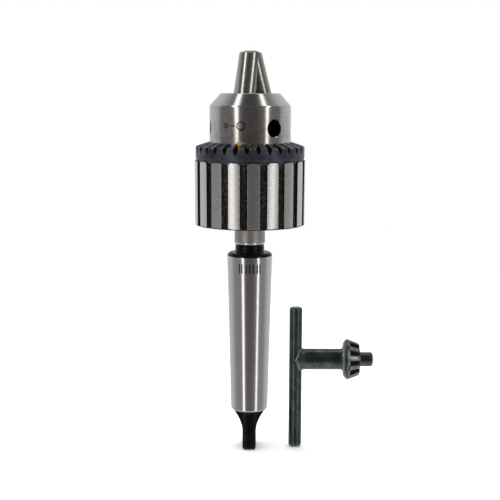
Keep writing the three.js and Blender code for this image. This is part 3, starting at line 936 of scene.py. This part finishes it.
def make_key_shaft(oxide, worn, dark):
    piece = piece_from(mesh_from("key_shaft_piece", *grid(key_shaft_rows())))
    cut(piece, [key_saddle()], "INTERSECT")
    cut(piece, [key_cross_hole()])

    def which(place):
        """Worn on the tips of the pinion's teeth, with painted shade between them."""
        if not PINION_X + 0.4 < place.x < PINION_FRONT - 0.05:
            return 0
        share = (PINION_X + PINION_APEX - place.x) / PINION_APEX
        r = math.hypot(place.y, place.z - KEY_AXIS_Z)
        if r > share * (PINION_TIP - 0.35):
            return 1
        return 2 if r < share * (PINION_ROOT + 1.1) else 0

    paint(piece, [oxide, worn, dark], which)
    return install(piece, "key_shaft_piece", "key", ["key_shaft"])


def make_key_handle(oxide):
    top = BAR_HIGH.z
    end_r = BAR_R - 0.55
    profile = rounded([
        (0, 0, 0), (end_r, 0, 0.3), (BAR_R, 0.7, 0.4),
        (BAR_R, top - 0.7, 0.4), (end_r, top, 0.3), (0, top, 0),
    ])
    lower = [p for p in profile if p[1] < top / 2]
    upper = [p for p in profile if p[1] > top / 2]
    steps = 24
    side = [lower[-1].lerp(upper[0], i / steps) for i in range(1, steps)]
    piece = lathe("key_handle_piece", lower + side + upper, SMALL_SEGMENTS)
    transform(piece, Matrix.Translation((BAR_X, 0, 0)))
    paint(piece, [oxide])
    return install(piece, "key_handle_piece", "key", ["key_handle"])


# ---------------------------------------------------------------- stage
def make_floor():
    """A round pale floor that fades out into the pale surroundings."""
    floor = lathe("floor", [(r, 0.0) for r in (0.0, 100.0, 250.0, 400.0, 600.0)], SMALL_SEGMENTS)
    floor.location.z = -0.0001
    material, nodes = new_material("pale floor")
    metres_out = nodes.vector_math("LENGTH", nodes.place())
    fade = nodes.grey_ramp(metres_out, [(0.2, 1.0), (0.5, 0.0)])
    diffuse = nodes.add("ShaderNodeBsdfDiffuse", Color=(0.9, 0.9, 0.9, 1))
    nodes.finish(nodes.shade_mix(fade, nodes.add("ShaderNodeBsdfTransparent"), diffuse))
    paint(floor, [material])
    floor.visible_glossy = False
    floor.visible_shadow = False


def direction(azimuth, elevation):
    a, e = math.radians(azimuth), math.radians(elevation)
    return Vector((math.sin(a) * math.cos(e), -math.cos(a) * math.cos(e), math.sin(e)))


def share_along(nodes, ray, axis):
    """0 for a ray that points against an axis and 1 for one along it."""
    along = nodes.vector_math("DOT_PRODUCT", ray, axis)
    return nodes.math("ADD", nodes.math("MULTIPLY", along, 0.5), 0.5)


def surroundings(nodes, ray, height):
    """A dark front and a pale back, a little paler below, with a dimmer ceiling and a white floor."""
    behind = share_along(nodes, ray, (0, 1, 0))
    back = [(0.64, (0.58, 0.585, 0.6)), (0.95, (0.72, 0.72, 0.73))]
    level = nodes.ramp(behind, [
        (0.0, (0.066, 0.06, 0.06)), (0.03, (0.075, 0.07, 0.07)), (0.09, (0.14, 0.135, 0.13)),
        (0.25, (0.15, 0.15, 0.15)), (0.5, (0.165, 0.165, 0.17)), (0.57, (0.44, 0.445, 0.45)), *back,
    ])
    lower = nodes.ramp(behind, [
        (0.0, (0.1, 0.092, 0.092)), (0.03, (0.115, 0.105, 0.107)), (0.09, (0.19, 0.175, 0.175)),
        (0.25, (0.28, 0.27, 0.27)), (0.48, (0.32, 0.315, 0.32)), (0.56, (0.46, 0.46, 0.47)), *back,
    ])
    surround = nodes.mix(nodes.grey_ramp(height, [(0.44, 0.0), (0.5, 1.0)]), lower, level)
    above = nodes.grey_ramp(height, [(0.82, 1.0), (0.9, 0.62), (0.98, 0.38)])
    surround = nodes.mix(1.0, surround, above, "MULTIPLY")
    below = nodes.grey_ramp(height, [(0.12, 1.0), (0.32, 0.0)])
    return nodes.mix(below, surround, (0.95, 0.95, 0.95, 1))


def light_strip(nodes, ray, lift, low, high, half_width, power):
    """A strip of light along the great circle through two directions, half so many degrees wide."""
    normal = tuple(low.cross(high).normalized())
    off = nodes.math("ABSOLUTE", nodes.vector_math("DOT_PRODUCT", ray, normal))
    edge = math.sin(math.radians(half_width))
    band = nodes.grey_ramp(off, [(edge * 0.55, 1.0), (edge * 1.2, 0.0)])
    middle = tuple((low + high).normalized())
    side = nodes.grey_ramp(nodes.vector_math("DOT_PRODUCT", ray, middle), [(0.25, 0.0), (0.4, 1.0)])
    strip = nodes.mix(1.0, band, side, "MULTIPLY")
    strip = nodes.mix(1.0, strip, lift, "MULTIPLY")
    return nodes.mix(1.0, strip, rgba((power,) * 3), "MULTIPLY")


def make_studio():
    """The surroundings that the steel mirrors; the camera itself sees white behind the object."""
    world = bpy.data.worlds.new("studio")
    bpy.context.scene.world = world
    world.use_nodes = True
    nodes = Nodes(world.node_tree)
    ray = nodes.tree.nodes.new("ShaderNodeTexCoord").outputs["Generated"]
    height = share_along(nodes, ray, (0, 0, 1))
    total = surroundings(nodes, ray, height)
    lift = nodes.grey_ramp(height, [(0.55, 0.0), (0.63, 1.0), (0.78, 1.0), (0.86, 0.0)])
    lift = nodes.math("ADD", nodes.math("MULTIPLY", lift, STRIP_LIFT), 1.0)
    for low, high, half_width, power in STRIPS:
        strip = light_strip(nodes, ray, lift, direction(*low), direction(*high), half_width, power)
        total = nodes.mix(1.0, total, strip, "ADD")
    lit = nodes.add("ShaderNodeBackground", Color=total, Strength=1.0)
    seen = nodes.add("ShaderNodeBackground", Color=(1, 1, 1, 1), Strength=1.0)
    camera_ray = nodes.tree.nodes.new("ShaderNodeLightPath").outputs["Is Camera Ray"]
    nodes.finish(nodes.shade_mix(camera_ray, lit, seen), "ShaderNodeOutputWorld")


def make_floor_light():
    """A wide soft light overhead that whitens the floor and leaves a soft shadow on it."""
    data = bpy.data.lights.new("overhead", "AREA")
    data.shape = "DISK"
    data.size = LIGHT_SIZE
    data.energy = LIGHT_WATTS
    light = bpy.data.objects.new("overhead", data)
    light.location = LIGHT_AT
    light.visible_glossy = False
    bpy.context.scene.collection.objects.link(light)


def make_camera():
    """A long lens level with the nose, 440 mm in front of the chuck's axis, tipped a little down."""
    data = bpy.data.cameras.new("camera")
    data.lens = LENS
    data.sensor_width = 36
    data.clip_start = 0.01
    camera = bpy.data.objects.new("camera", data)
    camera.location = CAMERA_AT
    tip = Matrix.Rotation(math.radians(90 - CAMERA_TIP), 4, "X")
    roll = Matrix.Rotation(math.radians(CAMERA_ROLL), 4, "Z")
    camera.rotation_euler = (tip @ roll).to_euler()
    bpy.context.scene.collection.objects.link(camera)
    bpy.context.scene.camera = camera


def make_chuck(dark):
    steel = turned_steel("body steel", (0.6, 0.585, 0.57), 0.16, stain=0.22, film=0.55, grease=True)
    arbor_steel = turned_steel("arbor steel", (0.62, 0.61, 0.6), 0.18, stain=0.05)
    # the short taper: rougher, and darker in colour as painted shade from the sleeve above
    taper_steel_painted_shade = turned_steel("rough taper steel with painted shade", (0.42, 0.4, 0.38), 0.45, stain=0.15)
    land_steel = turned_steel("land steel", (0.7, 0.68, 0.65), 0.27, lines=(0.2, 0.2, 4.0), stain=0.05)
    jaw_steel = turned_steel("jaw steel", (0.37, 0.365, 0.34), 0.25, lines=(0.5, 0.5, 3.0), stain=0.25)
    # painted shade: the jaws' gripping flats are near-black for the shade in the narrow V between the jaws
    jaw_flat_painted_shade = turned_steel("jaw flats painted shade", (0.05, 0.05, 0.047), 0.3, lines=(0.5, 0.5, 3.0), stain=0.1)
    ring_oxide = oxide_steel("ring oxide", (0.066, 0.073, 0.09), 0.4, speckle=0.15, wear=0.9, grease=True)
    flute_oxide = oxide_steel("flute oxide", (0.006, 0.007, 0.009), 0.5, speckle=1.0, grain=3.4, start=0.57)
    tang_oxide = oxide_steel("tang oxide", (0.012, 0.012, 0.014), 0.3, speckle=0.02)

    make_body(steel, dark)
    make_arbor(arbor_steel, tang_oxide, taper_steel_painted_shade)
    make_barrel(land_steel, flute_oxide)
    make_ring_gear(ring_oxide, dark)
    make_jaws(jaw_steel, jaw_flat_painted_shade)
    for node in ("nut_half_a", "nut_half_b"):
        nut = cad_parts[node]
        nut.data.materials.clear()
        nut.data.materials.append(flute_oxide)


def make_key(dark):
    key_oxide = oxide_steel(
        "key oxide", (0.075, 0.09, 0.09), 0.27, speckle=0.22, wear=0.8, grain=2.2, start=0.62, relief=0.1)
    worn_oxide = oxide_steel("worn key oxide", (0.24, 0.24, 0.22), 0.3, speckle=0.35)
    for piece in (make_key_shaft(key_oxide, worn_oxide, dark), make_key_handle(key_oxide)):
        piece.visible_glossy = False  # kept out of the arbor's mirror image


def main():
    make_camera()
    make_studio()
    make_floor()
    make_floor_light()
    bpy.context.scene.view_settings.view_transform = "Standard"
    # painted shade: near-black inside the pilot holes, in the ring gear's gaps and between the pinion's
    # teeth; also the dark floors of the engraved marks
    dark = oxide_steel("painted hollow shade and dark mark floors", (0.01, 0.01, 0.01), 0.6, speckle=0.05)
    make_chuck(dark)
    make_key(dark)


main()
